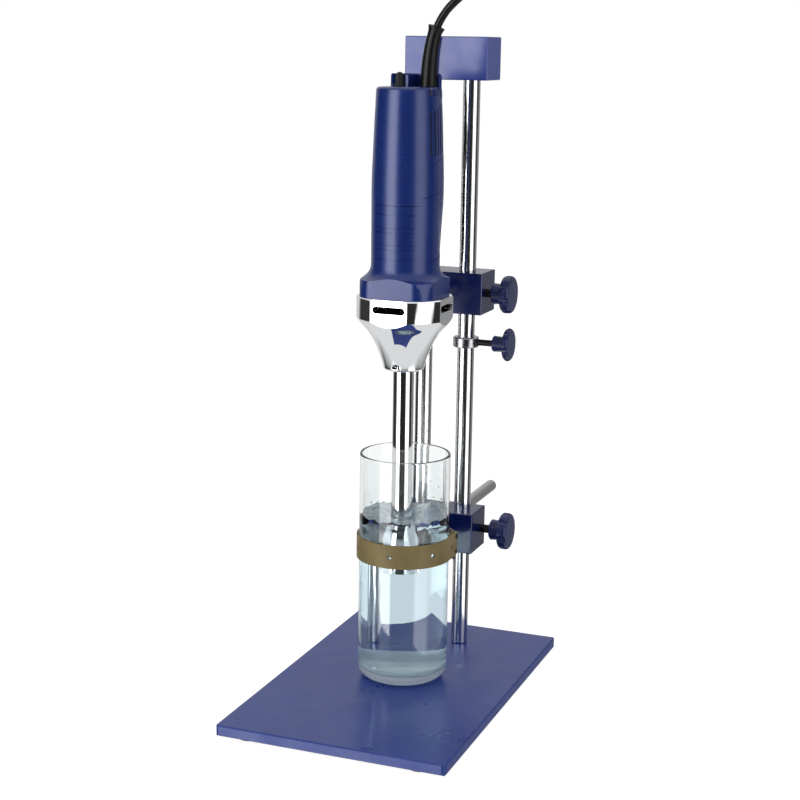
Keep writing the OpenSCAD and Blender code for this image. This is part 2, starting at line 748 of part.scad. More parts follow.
module plug_body() color("black") translate([plug_x, plug_y, plug_low]) difference() {
    union() {
        cylinder(h = plug_boot, r1 = cord_r + 1.2, r2 = 6.4);
        translate([0, 0, plug_boot]) linear_extrude(plug_body_h) union() {
            square([2 * (plug_half_w - plug_half_t), 2 * plug_half_t], center = true);
            for (side = [-1, 1]) translate([side * (plug_half_w - plug_half_t), 0])
                circle(plug_half_t);
        }
    }
    translate([0, 0, -1]) cylinder(h = 7, r = cord_r + slide_gap);
}

module plug_pins() color("silver") for (side = [-1, 1])
    translate([plug_x + side * pin_pitch / 2, plug_y, plug_low + plug_boot + plug_body_h]) {
        cylinder(h = pin_len - 2, r = 2);
        translate([0, 0, pin_len - 2]) sphere(2, $fn = 24);
    }

// ---- inside the motor ----

core_r = body_r - shell_t - 0.5;
core_bore = 18.6;
core_low = flange_top + 44;
core_h = 46;
shaft_r = 4;
brush_z = flange_top + 108;
shaft_top = flange_top + 134;
upper_bearing_z = shaft_top - bearing_w;

core_flat = 24.3;              // half width across the core's flats

module field_stator() color("dimgray") translate([0, tool_y, core_low]) difference() {
    intersection() {
        cylinder(h = core_h, r = core_r);
        translate([-core_flat, -core_r, -1]) cube([2 * core_flat, 2 * core_r, core_h + 2]);
    }
    translate([0, 0, -1]) cylinder(h = core_h + 2, r = core_bore);
}

// The end turns of the two field coils, above and below the core.
module field_coils() color("peru") translate([0, tool_y, 0])
    for (z = [core_low - 8, core_low + core_h], turn = [20, 200]) translate([0, 0, z])
        rotate([0, 0, turn]) rotate_extrude(angle = 140)
            translate([core_bore + 0.4, 0]) square([6.6, 8]);

brush_low = brush_z - 9;

// A plate across the housing, with a box for each brush.
module brush_holders() color("goldenrod") translate([0, tool_y, 0]) {
    translate([0, 0, brush_low]) ring(core_r - 0.2, 14.5, 3);
    for (side = [-1, 1]) translate([side * 20, 0, brush_z]) difference() {
        translate([-6, -5, brush_low + 3 - brush_z]) cube([12, 10, 11]);
        translate([-7, -3, -3]) cube([14, 6, 6]);
    }
}

module carbon_brushes() color("black") translate([0, tool_y, brush_z])
    for (side = [-1, 1]) translate([side * 18.2 - 5.9, -3, -3]) cube([11.8, 6, 6]);

module bearing(z) translate([0, tool_y, z]) difference() {
    rotate_extrude() polygon([[shaft_r + slide_gap / 2, 0], [6.2, 0], [6.2, 0.6], [9.2, 0.6],
        [9.2, 0], [bearing_r, 0], [bearing_r, bearing_w], [9.2, bearing_w],
        [9.2, bearing_w - 0.6], [6.2, bearing_w - 0.6], [6.2, bearing_w],
        [shaft_r + slide_gap / 2, bearing_w]]);
}

module lower_bearing() color("silver") bearing(bearing_z);

module upper_bearing() color("silver") bearing(upper_bearing_z);

// Four arms that hold the upper bearing in the rear cover.
module bearing_spider() color("dimgray") translate([0, tool_y, 0]) intersection() {
    translate([0, 0, upper_bearing_z]) union() {
        ring(bearing_r + 2.5, bearing_r, bearing_w);
        for (turn = [45 : 90 : 315]) rotate([0, 0, turn])
            translate([bearing_r + 1.5, -2, 0]) cube([20, 4, bearing_w]);
    }
    body_form(shell_t + 0.1);
}

module motor_shaft() color("silver") translate([0, tool_y, coupling_mid + 0.5])
    cylinder(h = shaft_top - coupling_mid - 0.5, r = shaft_r);

module armature() color("gray") translate([0, tool_y, core_low + 1]) difference() {
    ring(core_bore - 0.6, shaft_r, core_h - 2);
    for (i = [0 : 11]) rotate([0, 0, i * 30]) translate([core_bore - 4, -0.8, -1])
        cube([5, 1.6, core_h]);
}

module commutator() color("peru") translate([0, tool_y, brush_z - 8]) difference() {
    ring(12, shaft_r, 16);
    for (i = [0 : 23]) rotate([0, 0, i * 15]) translate([11, -0.25, -1]) cube([2, 0.5, 18]);
}

fan_z = flange_top - fan_room_h + 3;
fan_r = 27;

module cooling_fan() color("white") translate([0, tool_y, fan_z]) {
    ring(8, shaft_r, 14);
    translate([0, 0, 12]) ring(fan_r, 7, 2);
    for (i = [0 : 9]) rotate([0, 0, i * 36]) translate([7.5, -0.8, 2]) cube([fan_r - 8.5, 1.6, 11]);
}

coupling_low = nose_z + tube_sink + 0.7;
coupling_top = bearing_z - 0.8;
coupling_mid = (coupling_low + coupling_top) / 2;
drive_r = 3;
rotor_z = tool_low + 3;

module shaft_coupling() color("gray") translate([0, tool_y, coupling_low]) difference() {
    cylinder(h = coupling_top - coupling_low, r = 7);
    translate([0, 0, coupling_mid - coupling_low]) cylinder(h = 20, r = shaft_r);
    translate([0, 0, -1]) cylinder(h = 20, r = drive_r);
}

module drive_shaft() color("silver") translate([0, tool_y, rotor_z + 4])
    cylinder(h = coupling_mid - 0.5 - rotor_z - 4, r = drive_r);

// ---- dispersing tool ----

head_h = 40;                   // of the stator head with its neck
groove_z = 46;                 // the ring groove above the head
tube_bore = 6.5;
bush_h = 12;
rotor_r = stator_d / 2 - 2.2 - rotor_gap;
rotor_h = 12;
slot_h = 14;
stator_in = stator_d / 2 - 2.2;

module tool_tube() color("silver") translate([0, tool_y, 0]) difference() {
    translate([0, 0, tool_low + head_h - 14])
        cylinder(h = nose_z + tube_sink - tool_low - head_h + 14, r = tube_d / 2);
    translate([0, 0, tool_low]) cylinder(h = tool_len + tube_sink + 1, r = tube_bore);
    translate([0, 0, tool_low + groove_z]) ring(tube_d, tube_d / 2 - 0.8, 1.6);
}

module stator_head() color("gainsboro") translate([0, tool_y, tool_low]) difference() {
    rotate_extrude() polygon([[stator_in, 0], [stator_d / 2 - 0.5, 0], [stator_d / 2, 0.5],
        [stator_d / 2, head_h - 14], [tube_d / 2 + 2, head_h - 4], [tube_d / 2 + 2, head_h],
        [tube_d / 2, head_h], [tube_d / 2, head_h - 14], [drive_r + 4, head_h - 14],
        [drive_r + 4, rotor_h + 8], [stator_in, rotor_h + 8]]);
    for (i = [0 : stator_slots - 1]) rotate([0, 0, i * 360 / stator_slots])
        translate([stator_in - 2, -slot_w / 2, -1]) cube([6, slot_w, slot_h + 1]);
}

module rotor() color("silver") translate([0, tool_y, rotor_z]) {
    difference() {
        cylinder(h = rotor_h, r = rotor_r);
        translate([0, 0, -1]) cylinder(h = rotor_h - 3, r = rotor_r - 3);
        for (i = [0 : 3]) rotate([0, 0, i * 90 + 20]) translate([0, -2.5, -1])
            cube([rotor_r + 2, 5, rotor_h - 3]);
        translate([0, 0, 4]) cylinder(h = rotor_h, r = drive_r);
    }
}

module tool_bush() color("white") translate([0, tool_y, tool_low + head_h - 14 + 1])
    ring(tube_bore, drive_r + 0.05, bush_h);

module tool_seal() color("white") translate([0, tool_y, nose_z + tube_sink - 14])
    ring(tube_bore, drive_r + 0.05, 8);

// ---- strap clamp ----

beaker_y = tool_y + beaker_back;
beaker_r = beaker_d / 2;
strap_mid = lower_mid + 7.7;
jaw_h = 26;
jaw_t = 3.6;
lining_t = 1.4;
jaw_mid = strap_mid - 2.2;
strap_in = beaker_r + free_gap;
jaw_in = strap_in + lining_t;              // the V's metal faces from the beaker's axis
jaw_tip = jaw_in * sqrt(2);                // and its vertex
boss_r = 11;
boss_gap = 2.5;                            // the jaw's boss in front of the lower block
boss_len = lower_front - boss_gap - beaker_y - jaw_tip;
cross_start = lower_front - boss_gap - boss_len + 1.5;

// The V in plan round the beaker's axis, its faces at 45 degrees and its tips cut
// off where the strap passes.
module vee(inner, t) intersection() {
    for (flip = [0, 1]) mirror([flip, 0]) rotate(45)
        translate([inner, -inner]) square([t, 2 * inner + t]);
    translate([-strap_in, 0]) square([2 * strap_in, 100]);
}

module lower_block() color("midnightblue") difference() {
    rod_block(lower_front, lower_base, slide_gap);
    side_hole(lower_mid, knob_screw_d);
    translate([0, lower_front - 1, lower_mid]) rotate([-90, 0, 0])
        cylinder(h = block_d + 2, r = cross_d / 2 + slide_gap / 2);
    translate([0, lower_front + block_d / 2, lower_base - 1])
        cylinder(h = block_h / 2, r = grub_r);
}

module cross_set_screw() color("dimgray")
    translate([0, lower_front + block_d / 2, lower_mid - cross_d / 2 - slide_gap - grub_len])
        difference() {
            cylinder(h = grub_len, r = grub_r);
            translate([0, 0, -1]) cylinder(h = 4, r = 1.7, $fn = 6);
        }

module cross_rod() color("lightgray") translate([0, cross_start, lower_mid])
    rotate([-90, 0, 0]) union() {
        cylinder(h = cross_len - 1, r = cross_d / 2);
        translate([0, 0, cross_len - 1]) cylinder(h = 1, r1 = cross_d / 2, r2 = cross_d / 2 - 1);
    }

module strap_jaw() color("dimgray") difference() {
    translate([0, beaker_y, 0]) union() {
        translate([0, 0, jaw_mid - jaw_h / 2]) linear_extrude(jaw_h) vee(jaw_in, jaw_t);
        translate([0, jaw_tip + 1, lower_mid]) rotate([-90, 0, 0])
            cylinder(h = boss_len - 1, r = boss_r);
    }
    translate([0, cross_start, lower_mid]) rotate([-90, 0, 0])
        cylinder(h = boss_len, r = cross_d / 2);
    strap_stud_shanks();
}

module jaw_lining() color("black") difference() {
    translate([0, beaker_y, jaw_mid - jaw_h / 2 + 2]) linear_extrude(jaw_h - 4)
        vee(strap_in, lining_t);
    strap_stud_shanks();
}

strap_end = (jaw_in + jaw_t) * sqrt(2) - strap_in - 0.5;
stud_y = strap_end - 3;
stud_r = 1.2;
stud_gap = 7;

// Half round the beaker, then straight back to the jaw's tips.
module strap() color("darkkhaki") translate([0, beaker_y, strap_mid - strap_h / 2])
    difference() {
        linear_extrude(strap_h) union() {
            difference() {
                circle(strap_in + strap_t);
                circle(strap_in);
                translate([-100, 0]) square([200, 100]);
            }
            for (x = [-strap_in - strap_t, strap_in])
                translate([x, -0.1]) square([strap_t, strap_end + 0.1]);
        }
        for (a = [-142, -87, -32]) rotate([0, 0, a]) translate([strap_in - 2, 0, strap_h / 2])
            rotate([0, 90, 0]) cylinder(h = strap_t + 4, r = 2);
        for (side = [0, 1]) mirror([side, 0, 0]) translate([strap_in - 2, 10, strap_h / 2])
            rotate([0, 90, 0]) cylinder(h = strap_t + 4, r = 2);
        translate([0, -beaker_y, strap_h / 2 - strap_mid]) strap_stud_shanks();
    }

module at_strap_studs() for (side = [0, 1], z = [-1, 1]) mirror([side, 0, 0])
    translate([strap_in, beaker_y + stud_y, strap_mid + z * stud_gap]) rotate([0, 90, 0])
        children();

module strap_stud_shanks() at_strap_studs() translate([0, 0, -2])
    cylinder(h = strap_t + 2, r = stud_r);

module strap_studs() color("silver") {
    strap_stud_shanks();
    at_strap_studs() translate([0, 0, strap_t]) cylinder(h = 0.8, r1 = 2.4, r2 = 2);
}

// ---- beaker ----

fillet_out = 10;
fillet_in = 12;

module beaker() color("lightcyan", 0.4) translate([0, beaker_y, plate_top]) rotate_extrude()
    polygon(concat([[0, 0.4], [beaker_r - fillet_out - 4, 0.4], [beaker_r - fillet_out - 3, 0]],
        arc(fillet_out, -90, 0, 8, beaker_r - fillet_out, fillet_out),
        arc(beaker_wall / 2, 0, 180, 6, beaker_r - beaker_wall / 2, beaker_h - beaker_wall / 2),
        arc(fillet_in, 0, -90, 8, beaker_r - beaker_wall - fillet_in, beaker_floor + fillet_in),
        [[0, beaker_floor]]));

base_plate();
rubber_feet();
foot_screws();
rod_left();
rod_right();
rod_screws();
top_block();
top_set_screws();
carriage_block();
carriage_screw();
carriage_knob();
stop_collar();
collar_screw();
collar_knob();
lower_block();
lower_screw();
lower_knob();
cross_set_screw();
holding_arm();
arm_set_screw();
flange();
tool_set_screw();
flange_screws();
motor_housing();
rear_cover();
switch_body();
switch_lever();
strain_relief();
cord_lead();
cord_hank();
cord_tail();
cord_tie();
plug_body();
plug_pins();
field_stator();
field_coils();
brush_holders();
carbon_brushes();
bearing_spider();
upper_bearing();
lower_bearing();
motor_shaft();
armature();
commutator();
cooling_fan();
shaft_coupling();
drive_shaft();
rotor();
tool_tube();
stator_head();
tool_bush();
tool_seal();
cross_rod();
strap_jaw();
jaw_lining();
strap();
strap_studs();
beaker();
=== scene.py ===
# %% [markdown]
# # A rotor-stator homogenizer on its stand
# A hand motor hangs on a stand of two rods, and its dispersing tool reaches into a tall
# beaker that a strap clamp holds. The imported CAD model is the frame: it has every part
# at its real size and place. This notebook gives the parts their looks, and models anew
# the ones that a CAD solid can't show well: the cord, the glass and the liquid.

import json
from math import atan2, cos, exp, hypot, pi, radians, sin, tau

import bmesh
import bpy
from mathutils import Matrix, Vector, noise


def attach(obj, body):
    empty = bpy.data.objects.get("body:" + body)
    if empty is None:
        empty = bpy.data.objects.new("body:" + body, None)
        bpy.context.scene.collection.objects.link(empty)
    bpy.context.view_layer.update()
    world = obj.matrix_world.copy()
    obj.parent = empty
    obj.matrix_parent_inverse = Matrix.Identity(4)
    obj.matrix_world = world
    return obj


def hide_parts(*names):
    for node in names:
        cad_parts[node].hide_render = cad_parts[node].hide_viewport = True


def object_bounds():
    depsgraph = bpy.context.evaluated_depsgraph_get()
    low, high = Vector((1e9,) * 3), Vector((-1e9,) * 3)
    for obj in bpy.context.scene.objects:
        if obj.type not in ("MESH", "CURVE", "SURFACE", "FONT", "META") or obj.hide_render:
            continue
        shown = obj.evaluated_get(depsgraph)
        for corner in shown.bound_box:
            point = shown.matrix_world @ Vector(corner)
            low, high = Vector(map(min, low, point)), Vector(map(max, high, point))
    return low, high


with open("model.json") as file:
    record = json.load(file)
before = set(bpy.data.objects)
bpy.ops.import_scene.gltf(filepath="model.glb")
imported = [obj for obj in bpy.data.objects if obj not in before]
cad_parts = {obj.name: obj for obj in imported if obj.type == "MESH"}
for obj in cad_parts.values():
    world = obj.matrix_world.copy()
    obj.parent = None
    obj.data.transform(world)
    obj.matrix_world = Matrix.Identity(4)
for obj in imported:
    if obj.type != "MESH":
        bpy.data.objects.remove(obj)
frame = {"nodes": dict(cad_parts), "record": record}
cad_low, cad_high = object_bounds()
scene = bpy.context.scene
MM = 0.001  # sizes below are in millimetres, and Blender works in metres
print("CAD box:", [round(v, 4) for v in (*cad_low, *cad_high)])

# %% [markdown]
# ## Camera
# The camera stands in front of the stand and to its right, a little above the motor.
# Three angles aim it: how far it turns from straight ahead, how far it looks down, and
# how much it leans.

# %% Camera
CAMERA_PLACE = Vector((514.27, -1343.39, 584.44)) * MM
CAMERA_TURN, CAMERA_DOWN, CAMERA_LEAN = radians(21.0), radians(12.18), radians(0.852)
LENS, SENSOR, FAR = 73.98, 36, 20  # the first two in mm, and the farthest seen in m


def camera_axes(turn, down, lean):
    """The camera's own axes, as a rotation."""
    ahead = Vector((-sin(turn) * cos(down), cos(turn) * cos(down), -sin(down)))
    right = ahead.cross(Vector((0, 0, 1))).normalized()
    up = right.cross(ahead)
    right, up = cos(lean) * right + sin(lean) * up, cos(lean) * up - sin(lean) * right
    return Matrix((right, up, -ahead)).transposed().to_4x4()


camera = bpy.data.objects.new("camera", bpy.data.cameras.new("camera"))
scene.collection.objects.link(camera)
camera.data.lens, camera.data.sensor_width = LENS, SENSOR
camera.data.clip_end = FAR
camera.matrix_world = Matrix.Translation(CAMERA_PLACE) @ camera_axes(
    CAMERA_TURN, CAMERA_DOWN, CAMERA_LEAN
)
scene.camera = camera
print("camera", round(CAMERA_PLACE.length, 2), "m from the plate's centre")

# %% [markdown]
# ## Helpers for materials
# Colours are written as a screen shows them, in sRGB, and a shader wants them linear.
# One function adds a node, sets its inputs and links them; another starts a material.
# A pattern is given its real size in millimetres: a texture's scale is how many times
# the pattern fits in a metre.

# %% Colours and shader nodes
def linear(text):
    """An sRGB hex colour as the linear one that a shader wants."""
    channels = (int(text[i : i + 2], 16) / 255 for i in (0, 2, 4))
    curve = [c / 12.92 if c < 0.0405 else ((c + 0.055) / 1.055) ** 2.4 for c in channels]
    return curve + [1]


def add(tree, kind, values={}, **settings):
    """A shader node. values sets an input, or links another node's output to it."""
    node = tree.nodes.new("ShaderNode" + kind)
    for key, value in settings.items():
        setattr(node, key, value)
    for key, value in values.items():
        if isinstance(value, bpy.types.NodeSocket):
            tree.links.new(value, node.inputs[key])
        else:
            node.inputs[key].default_value = value
    return node


def material(name, colour, roughness, metallic=0, **inputs):
    """A material with its Principled shader: returns (material, tree, shader)."""
    made = bpy.data.materials.new(name)
    made.use_nodes = True
    tree = made.node_tree
    tree.nodes.clear()
    values = {"Base Color": linear(colour), "Roughness": roughness, "Metallic": metallic}
    values.update({key.replace("_", " "): value for key, value in inputs.items()})
    shader = add(tree, "BsdfPrincipled", values)
    add(tree, "OutputMaterial", {"Surface": shader.outputs[0]})
    return made, tree, shader


def grain(tree, size, stretch=(1, 1, 1), detail=3):
    """A noise whose blotches are size millimetres across, longer where stretch is more."""
    place = add(tree, "TexCoord")
    turned = {"Vector": place.outputs["Object"], "Scale": [1 / s for s in stretch]}
    mapping = add(tree, "Mapping", turned)
    values = {"Vector": mapping.outputs[0], "Scale": 1000 / size, "Detail": detail}
    return add(tree, "TexNoise", values).outputs["Fac"]


def spread(tree, socket, low, high, dark, light):
    """Turns the part of a pattern from low to high into a number from dark to light."""
    values = {"Value": socket, "From Min": low, "From Max": high}
    values |= {"To Min": dark, "To Max": light}
    return add(tree, "MapRange", values).outputs[0]


def ramp_of(tree, socket, stops):
    """A colour ramp with its stops in order, as (place, colour)."""
    ramp = add(tree, "ValToRGB", {0: socket})
    line = ramp.color_ramp.elements
    line[0].position, line[0].color = stops[0]
    line[1].position, line[1].color = stops[-1]
    for place, colour in stops[1:-1]:
        line.new(place).color = colour
    return ramp


def tinted(tree, shader, socket, *stops):
    """Colours a shader's base by a pattern. stops are (place, colour)."""
    ramp = ramp_of(tree, socket, [(place, linear(colour)) for place, colour in stops])
    tree.links.new(ramp.outputs[0], shader.inputs["Base Color"])


def roughened(tree, shader, socket):
    """Lets a pattern set a shader's roughness."""
    tree.links.new(socket, shader.inputs["Roughness"])


def bumped(tree, shader, socket, height):
    """Raises a pattern on a shader's surface by height millimetres."""
    values = {"Height": socket, "Distance": height * MM, "Strength": 1.0}
    bump = add(tree, "Bump", values)
    tree.links.new(bump.outputs[0], shader.inputs["Normal"])


# %% [markdown]
# ## Painted and anodised parts
# The base plate is sawn steel with a blue powder coat: it melts in an oven to a skin
# that is glossy but never quite flat, and this "orange peel" is about 3 mm across. The
# three blocks are aluminium, milled and then painted dark blue. Their faces are flat, so
# at a low angle they mirror the room clearly. The top block gets a lighter blue: a
# painted reflection that stands in for the pale room its faces mirror.

# %% Paint
plate_paint, tree, shader = material("powder coated steel", "2f4595", 0.3, IOR=1.42)
tinted(tree, shader, grain(tree, 60), (0.3, "2d4392"), (0.7, "344a9a"))
roughened(tree, shader, spread(tree, grain(tree, 25), 0.3, 0.7, 0.24, 0.36))
bumped(tree, shader, grain(tree, 3, detail=1), 0.008)

block_paint, tree, shader = material("painted aluminium block", "0b1a58", 0.18, IOR=1.52)
tinted(tree, shader, grain(tree, 30), (0.3, "0a1853"), (0.7, "0e1e5e"))
roughened(tree, shader, spread(tree, grain(tree, 12), 0.3, 0.7, 0.14, 0.22))
bumped(tree, shader, grain(tree, 2.5, detail=2), 0.004)
# Painted reflection: the top block has the same paint, made lighter to stand in for the pale
# room its flat faces mirror.
lit_top_paint, tree, shader = material("top block paint with painted reflection", "3a4ea4", 0.2, IOR=1.52)
tinted(tree, shader, grain(tree, 30), (0.3, "364aa0"), (0.7, "4053aa"))
roughened(tree, shader, spread(tree, grain(tree, 12), 0.3, 0.7, 0.16, 0.24))
bumped(tree, shader, grain(tree, 2.5, detail=2), 0.004)
print("paint ready")

# %% [markdown]
# ## Metals
# Drawn stainless rods are turned against a grinding wheel and then polished. That
# leaves fine scratches round the rod, too fine to see one by one, that only widen a
# reflection a little. The noise is stretched to show that: long in one direction and
# short in the other. The motor's flange is cast and chromed, so it is almost a mirror.

# %% Steel and chrome
def ground_steel(name, colour, roughness, along, size=0.5, height=0.002):
    """Polished metal with fine scratches. along stretches them in each direction."""
    made, tree, shader = material(name, colour, roughness, 1)
    fine = grain(tree, size, along, 4)
    roughened(tree, shader, spread(tree, fine, 0.3, 0.7, roughness * 0.75, roughness * 1.3))
    bumped(tree, shader, fine, height)
    return made


rod_steel = ground_steel("ground stainless rod", "d8d8da", 0.17, (6, 6, 1), 0.5, 0.001)
collar_steel = ground_steel("turned stainless collar", "a4a4a8", 0.24, (6, 6, 1))
tool_steel = ground_steel("polished stainless tool", "dedddd", 0.1, (6, 6, 1))
bright_steel = ground_steel("zinc plated steel", "c4c4c8", 0.28, (1, 1, 1), 0.8)
chrome = ground_steel("polished chrome", "eceef0", 0.05, (1, 1, 1), 20, 0.01)
aluminium = ground_steel("turned aluminium", "bcbcbe", 0.34, (6, 1, 6), 0.6)
core_steel = ground_steel(
    "stamped core laminations", "8c8c90", 0.45, (20, 20, 1), 0.5, 0.05
)
copper = ground_steel("enamelled copper wire", "b8703e", 0.3, (8, 8, 1), 0.6, 0.08)
brass = ground_steel("nickel plated brass", "d9cfae", 0.2, (1, 1, 1), 1.5)

black_steel, tree, shader = material("black oxide steel", "1c1c20", 0.36, 0.6)
roughened(tree, shader, spread(tree, grain(tree, 1.5), 0.3, 0.7, 0.28, 0.46))
bumped(tree, shader, grain(tree, 0.8), 0.01)
print("metals ready")

# %% [markdown]
# ## Plastics and rubber
# The motor's shell is moulded glass-filled nylon: satin, with a fine spark-eroded
# texture from its mould that softens every highlight. The knobs are a smoother
# phenolic. Cord, feet and linings are rubber, which is rougher and almost black, and
# shows a little dust.

# %% Mouldings
shell_nylon, tree, shader = material("glass filled nylon shell", "0f2c76", 0.28, IOR=1.53)
tinted(tree, shader, grain(tree, 18), (0.3, "0d2a72"), (0.7, "12307c"))
roughened(tree, shader, spread(tree, grain(tree, 0.9), 0.3, 0.7, 0.25, 0.33))
bumped(tree, shader, grain(tree, 0.7, detail=2), 0.012)

knob_plastic, tree, shader = material("moulded phenolic knob", "14205c", 0.3, IOR=1.5)
tinted(tree, shader, grain(tree, 8), (0.3, "121d56"), (0.7, "182564"))
roughened(tree, shader, spread(tree, grain(tree, 3), 0.3, 0.7, 0.26, 0.38))
bumped(tree, shader, grain(tree, 0.9, detail=2), 0.008)

black_plastic, tree, shader = material("moulded black nylon", "17171a", 0.42, IOR=1.53)
roughened(tree, shader, spread(tree, grain(tree, 2), 0.3, 0.7, 0.36, 0.5))
bumped(tree, shader, grain(tree, 0.7, detail=2), 0.015)

white_plastic, tree, shader = material("turned fluoropolymer", "e9e9e4", 0.35, IOR=1.38)
roughened(tree, shader, spread(tree, grain(tree, 0.8, (8, 8, 1)), 0.3, 0.7, 0.3, 0.42))
bumped(tree, shader, grain(tree, 0.6, (8, 8, 1)), 0.01)

cord_rubber, tree, shader = material("extruded rubber sheath", "0b0b0d", 0.36, IOR=1.32)
tinted(tree, shader, grain(tree, 6), (0.35, "070709"), (0.75, "0f0f12"))
roughened(tree, shader, spread(tree, grain(tree, 1.5), 0.3, 0.7, 0.32, 0.44))
bumped(tree, shader, grain(tree, 0.8), 0.02)

foot_rubber, tree, shader = material("moulded rubber foot", "101012", 0.6, IOR=1.4)
tinted(tree, shader, grain(tree, 5), (0.35, "0d0d0f"), (0.75, "18181b"))
bumped(tree, shader, grain(tree, 1), 0.03)

carbon, tree, shader = material("pressed carbon brush", "222224", 0.5, 0.2)
bumped(tree, shader, grain(tree, 0.5, detail=4), 0.03)

jaw_coat, tree, shader = material("black coated jaw", "17171b", 0.5, IOR=1.5)
roughened(tree, shader, spread(tree, grain(tree, 4), 0.3, 0.7, 0.42, 0.6))
bumped(tree, shader, grain(tree, 0.6, detail=3), 0.04)
print("mouldings ready")

# %% [markdown]
# The strap is khaki rubber on a woven backing. Its outside is matt, a little lighter in
# patches where it has been bent, and carries a faint cross weave of about 1.2 mm.

# %% Strap
THREAD = 1.2  # from one thread to the next, in mm
WAVE = 1 / pi  # a wave texture of scale 1 repeats about this often, in m
strap_rubber, tree, shader = material("khaki rubber strap", "86764a", 0.56, IOR=1.52)
patches = grain(tree, 14, (1, 1, 2), 4)
tinted(tree, shader, patches, (0.3, "7c6c43"), (0.52, "88784c"), (0.75, "95855a"))
threads = add(tree, "TexCoord").outputs["Object"]
waves = {"Vector": threads, "Scale": WAVE / (THREAD * MM)}
weave = [add(tree, "TexWave", waves, bands_direction=way) for way in ("Z", "DIAGONAL")]
crossed = {0: weave[0].outputs[1], 1: weave[1].outputs[1]}
both = add(tree, "Math", crossed, operation="MULTIPLY")
bumped(tree, shader, both.outputs[0], 0.03)
print("strap ready")

# %% [markdown]
# ## Glass and liquid
# The beaker is clear borosilicate. Real borosilicate has an IOR of 1.47, and 1.4 is
# used here to keep the wall's edges faint. Clear glass has next to no colour of its
# own: what the eye reads is the bent background and the dark lines where the wall is
# seen edge on. Its thick base gets a paler, less clear glass: painted light that stands
# in for the light the thick glass catches. The liquid is water with a faint blue tint,
# and its churned top is full of fine bubbles, so it is paler and less clear.

# %% Glass and water
def clear_shadow(tree, shader):
    """Light goes through to what stands behind: glass throws next to no shadow."""
    out = next(n for n in tree.nodes if n.type == "OUTPUT_MATERIAL")
    shadow = add(tree, "LightPath").outputs["Is Shadow Ray"]
    clear = add(tree, "BsdfTransparent", {"Color": (0.93, 0.96, 0.97, 1)})
    both = add(tree, "MixShader", {0: shadow, 1: shader.outputs[0], 2: clear.outputs[0]})
    tree.links.new(both.outputs[0], out.inputs["Surface"])


beaker_glass, tree, shader = material(
    "borosilicate glass", "f7fafa", 0.0, Transmission_Weight=1.0, IOR=1.4
)
bumped(tree, shader, grain(tree, 30), 0.01)
clear_shadow(tree, shader)

# Painted light: the base gets a paler, less clear glass that stands in for the light the
# thick glass catches.
paler_base_glass, tree, shader = material(
    "paler base glass, painted light", "eef6f8", 0.12, Transmission_Weight=0.45, IOR=1.47
)
bumped(tree, shader, grain(tree, 12), 0.05)
clear_shadow(tree, shader)

water, tree, shader = material("water", "dbeaf3", 0.0, Transmission_Weight=1.0, IOR=1.33)
bumped(tree, shader, grain(tree, 9, (1, 1, 6), 2), 0.12)
clear_shadow(tree, shader)

churned, tree, shader = material(
    "churned water", "c6dae6", 0.08, Transmission_Weight=0.62, IOR=1.33
)
froth = grain(tree, 3, detail=4)
tinted(tree, shader, froth, (0.35, "a9c3d2"), (0.6, "d3e3ec"))
bumped(tree, shader, froth, 0.6)
clear_shadow(tree, shader)
print("glass and water ready")

# %% [markdown]
# ## The CAD parts get their finishes
# The record names a material slot for every node, so one table is enough. The CAD
# mesh has separate corners where two faces meet. A Weld modifier joins them and a
# Bevel rounds the sharp edges by a few tenths, as a deburred part has: a round edge
# catches a thin highlight, and a perfectly sharp one never does. Moulded shells have
# soft corners, so theirs are shaded smooth up to a chosen angle by a small node group.

# %% Finishes
finishes = {
    "plate_paint": plate_paint, "foot_rubber": foot_rubber, "block_blue": block_paint,
    "top_blue": lit_top_paint, "rod_steel": rod_steel, "bright_steel": bright_steel,
    "black_steel": black_steel, "knob_plastic": knob_plastic, "flange_chrome": chrome,
    "tool_steel": tool_steel, "housing_plastic": shell_nylon, "black_plastic": black_plastic,
    "cord_rubber": cord_rubber, "pin_metal": brass, "core_steel": core_steel,
    "copper": copper, "carbon": carbon, "white_plastic": white_plastic,
    "jaw_coat": jaw_coat, "lining_rubber": foot_rubber, "strap_rubber": strap_rubber,
    "cross_aluminium": aluminium, "beaker_glass": beaker_glass,
}
rounded = {  # the width of each bevel, in mm
    "top_block": 0.6, "carriage_block": 0.6, "lower_block": 0.6, "stop_collar": 0.4,
    "carriage_knob": 0.9, "collar_knob": 0.9, "lower_knob": 0.9, "strap_jaw": 0.5,
    "flange": 0.35, "base_plate": 0.3,
}
moulded = {  # faces that meet at less than this many degrees are shaded as one
    "motor_housing": 18, "rear_cover": 18, "strap": 30, "switch_lever": 40,
}
JOIN = 0.02  # corners nearer to each other than this, in mm, are one
SHARP = 34  # an edge sharper than this, in degrees, is bevelled


